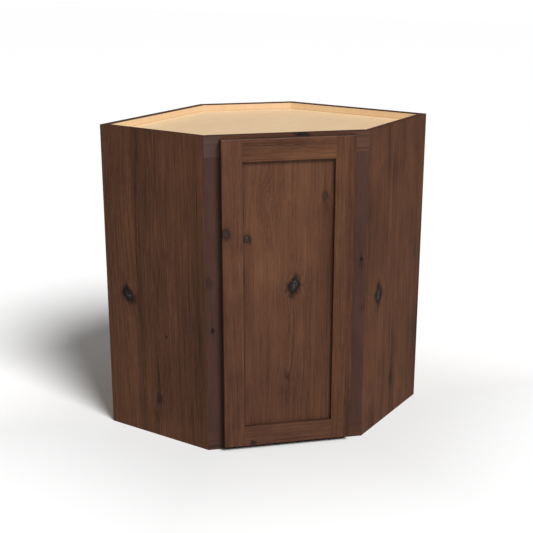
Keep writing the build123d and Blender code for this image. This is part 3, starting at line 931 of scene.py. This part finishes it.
def screwPlaces(nodeName, direction):
    # under-head points of the row's plain screws, found from their own meshes
    points = sorted((v.co.copy() for v in nodes[nodeName].data.vertices), key=lambda p: p.z)
    clusters = [[points[0]]]
    for point in points[1:]:
        if point.z - clusters[-1][-1].z > screwSpacing:
            clusters.append([])
        clusters[-1].append(point)
    side = direction.cross(Vector((0, 0, 1)))
    places = []
    for cluster in clusters:
        ahead = min(p.dot(direction) for p in cluster) + crossScrew["headTall"]
        aside = [p.dot(side) for p in cluster]
        heights = [p.z for p in cluster]
        middle = Vector((0, 0, (min(heights) + max(heights)) / 2))
        places.append(direction * ahead + side * (min(aside) + max(aside)) / 2 + middle)
    return places


def screwMesh(size):
    # head toward -Z, shank toward +Z, turned from a profile; the thread is a helix
    shape = bmesh.new()
    around, steps = size["around"], size["steps"]
    rings = [[(radius, -height)] * around for radius, height in size["headProfile"]]
    threadTall = size["shankRadius"] - size["coreRadius"]
    for step in range(steps + 1):
        z = size["length"] * size["threadShare"] * step / steps
        taper = min(1.0, (size["length"] - z) / (size["length"] * size["tipShare"]))
        ring = []
        for turn in range(around):
            phase = (z / size["pitch"] - turn / around) % 1.0
            ridge = 1.0  # no groove in the first turn, under the head
            if z > size["pitch"]:
                ridge = max(0.0, 1.0 - abs(phase - 0.5) / size["ridgeHalf"])
            ring.append(((size["coreRadius"] + threadTall * ridge) * taper, z))
        rings.append(ring)
    loops = []
    for ring in rings:
        loop = []
        for turn, (radius, z) in enumerate(ring):
            angle = 2 * pi * turn / around
            loop.append(shape.verts.new((radius * cos(angle), radius * sin(angle), z)))
        loops.append(loop)
    for first, second in zip(loops, loops[1:]):
        for turn in range(around):
            following = (turn + 1) % around
            shape.faces.new((first[turn], first[following], second[following], second[turn]))
    top = shape.verts.new((0, 0, -size["headTall"]))
    tip = shape.verts.new((0, 0, size["length"]))
    for turn in range(around):
        following = (turn + 1) % around
        shape.faces.new((top, loops[0][following], loops[0][turn]))
        shape.faces.new((tip, loops[-1][turn], loops[-1][following]))
    bmesh.ops.recalc_face_normals(shape, faces=shape.faces)
    return meshFrom(shape, "cross screw")


def crossCutter(size):
    # two crossed wedges
    shape = bmesh.new()
    for quarter in (0, 1):
        verts = []
        for height, long, wide in size["slotEnds"]:
            for x, y in ((-0.5, -0.5), (0.5, -0.5), (0.5, 0.5), (-0.5, 0.5)):
                a, b = (x * long, y * wide) if quarter == 0 else (y * wide, x * long)
                verts.append(shape.verts.new((a, b, -height)))
        bmesh.ops.convex_hull(shape, input=verts)
    return meshFrom(shape, "cross cutter")


def makeScrews(name, nodeName, direction, body):
    cutter = addObject("cutter", crossCutter(crossScrew))
    upright = direction.to_track_quat("Z", "X").to_matrix().to_4x4()
    joined = bmesh.new()
    for number, place in enumerate(screwPlaces(nodeName, direction)):
        one = addObject("one screw", screwMesh(crossScrew))
        cut = one.modifiers.new("recess", "BOOLEAN")
        cut.object = cutter
        cut.operation = "DIFFERENCE"
        cut.use_self = True
        bpy.context.view_layer.update()
        finished = one.evaluated_get(bpy.context.evaluated_depsgraph_get())
        made = bpy.data.meshes.new_from_object(finished)
        turn = radians(crossScrew["firstTurn"] + crossScrew["nextTurn"] * number)
        made.transform(Matrix.Translation(place) @ upright @ Matrix.Rotation(turn, 4, "Z"))
        joined.from_mesh(made)
        bpy.data.objects.remove(one)
    bpy.data.objects.remove(cutter)
    screws = addObject(name, meshFrom(joined, name))
    screws.data.materials.append(steel)
    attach(screws, body)
    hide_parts(nodeName)


alongFront = Vector((1, 1, 0)).normalized()
outOfDoor = Vector((1, -1, 0)).normalized()  # from the door's back toward its face
makeScrews("arm_screws_cross", "hinge_arm_screws", alongFront, "cabinet")
makeScrews("cup_screws_cross", "hinge_cup_screws", outOfDoor, "door")
print("screws made")


# softened edges

softEdges = {
    "width": 0.0003, "segments": 2, "angle": radians(38), "mergeDistance": 0.00001,
    "shadingWeight": 100,  # the wide faces stay flat in their shading
    # pieces with a plain outline; a bevel folds over itself round the holes of the others
    "pieces": [
        "frame_left_stile", "frame_top_rail", "frame_bottom_rail", "door_panel", "top_panel",
        "bottom_panel", "lower_shelf", "upper_shelf", "left_upper_hanging_rail",
        "right_upper_hanging_rail", "left_lower_hanging_rail", "right_lower_hanging_rail",
    ],
}


def softenEdges(piece, look):
    weld = piece.modifiers.new("weld", "WELD")
    weld.merge_threshold = look["mergeDistance"]
    bevel = piece.modifiers.new("bevel", "BEVEL")
    bevel.width = look["width"]
    bevel.segments = look["segments"]
    bevel.limit_method = "ANGLE"
    bevel.angle_limit = look["angle"]
    shading = piece.modifiers.new("shading", "WEIGHTED_NORMAL")
    shading.keep_sharp = True
    shading.weight = look["shadingWeight"]


for name in softEdges["pieces"]:
    softenEdges(nodes[name], softEdges)
print("edges softened")


# floor and light

# the floor's colour, and the darker colour of the painted shade close to the cabinet
floorLook = {
    "size": 30.0, "divisions": 8, "color": (0.92, 0.92, 0.92), "paintedShadeColor": (0.74, 0.74, 0.74),
    "shadeReach": 0.55, "uneven": 0.05, "unevenNoise": ((3, 3, 3), 2.0), "rough": 0.65,
    "specular": 0.2,
}


def makeFloor(look):
    shape = bmesh.new()
    divisions, half = look["divisions"], look["size"] / 2
    bmesh.ops.create_grid(shape, x_segments=divisions, y_segments=divisions, size=half)
    floor = addObject("floor", meshFrom(shape, "floor"))
    material, tree, shader = newMaterial("pale floor", look["color"])
    # painted shade: a little darker close to the cabinet, by the distance from its plan
    place = objectSpace(tree)
    parts = splitVector(tree, place)
    aside = larger(tree, calc(tree, "ABSOLUTE", parts["X"]), calc(tree, "ABSOLUTE", parts["Y"]))
    ahead = times(tree, minus(tree, parts["X"], parts["Y"]), sqrt(0.5))
    away = larger(tree, minus(tree, aside, wallHalf), minus(tree, ahead, frontShift))
    shade = remap(tree, away, 0.0, look["shadeReach"], 1.0, 0.0)
    faint = noise(tree, place, *look["unevenNoise"])
    shade = plus(tree, shade, times(tree, faint, look["uneven"]))
    feed(tree, shader, {
        "Base Color": blendColor(tree, shade, look["color"], look["paintedShadeColor"]),
        "Roughness": look["rough"], "Specular IOR Level": look["specular"],
    })
    floor.data.materials.append(material)
    floor.visible_glossy = False  # a matt sheet: its glare would grey the dark wood


makeFloor(floorLook)

studio = {
    "sunTurn": radians(68), "sunHeight": radians(45), "sunStrength": 4.3, "sunSpread": radians(24),
    "sky": (1.0, 1.0, 1.0), "skyStrength": 0.20,
}


def makeLight(look):
    lamp = bpy.data.lights.new("key", "SUN")
    lamp.energy = look["sunStrength"]
    lamp.angle = look["sunSpread"]
    key = addObject("key", lamp)
    flat = cos(look["sunHeight"])
    toSun = Vector((sin(look["sunTurn"]) * flat, -cos(look["sunTurn"]) * flat, sin(look["sunHeight"])))
    key.rotation_mode = "QUATERNION"
    key.rotation_quaternion = toSun.to_track_quat("Z", "Y")
    world = bpy.data.worlds.new("studio")
    world.use_nodes = True
    bpy.context.scene.world = world
    tree = world.node_tree
    tree.nodes.clear()
    # the backdrop is white to the camera, and a dimmer grey to the cabinet
    seen = addNode(tree, "ShaderNodeLightPath").outputs["Is Camera Ray"]
    strength = remap(tree, seen, 0.0, 1.0, look["skyStrength"], 1.0, smooth=False)
    sky = {"Color": (*look["sky"], 1.0), "Strength": strength}
    background = addNode(tree, "ShaderNodeBackground", sky).outputs["Background"]
    addNode(tree, "ShaderNodeOutputWorld", {"Surface": background})


makeLight(studio)
bpy.context.scene.view_settings.view_transform = "Standard"

# camera, where the photograph was taken from

camera = {
    "place": (1.4668, -2.2528, 1.2376), "turn": radians(33.16), "down": radians(17.05),
    "lens": 70.38, "sensor": 36.0,
}
cameraData = bpy.data.cameras.new("camera")
cameraData.lens = camera["lens"]
cameraData.sensor_width = camera["sensor"]
cameraObject = addObject("camera", cameraData)
cameraObject.location = camera["place"]
cameraObject.rotation_euler = (pi / 2 - camera["down"], 0, camera["turn"])
bpy.context.scene.camera = cameraObject
print("stage ready")
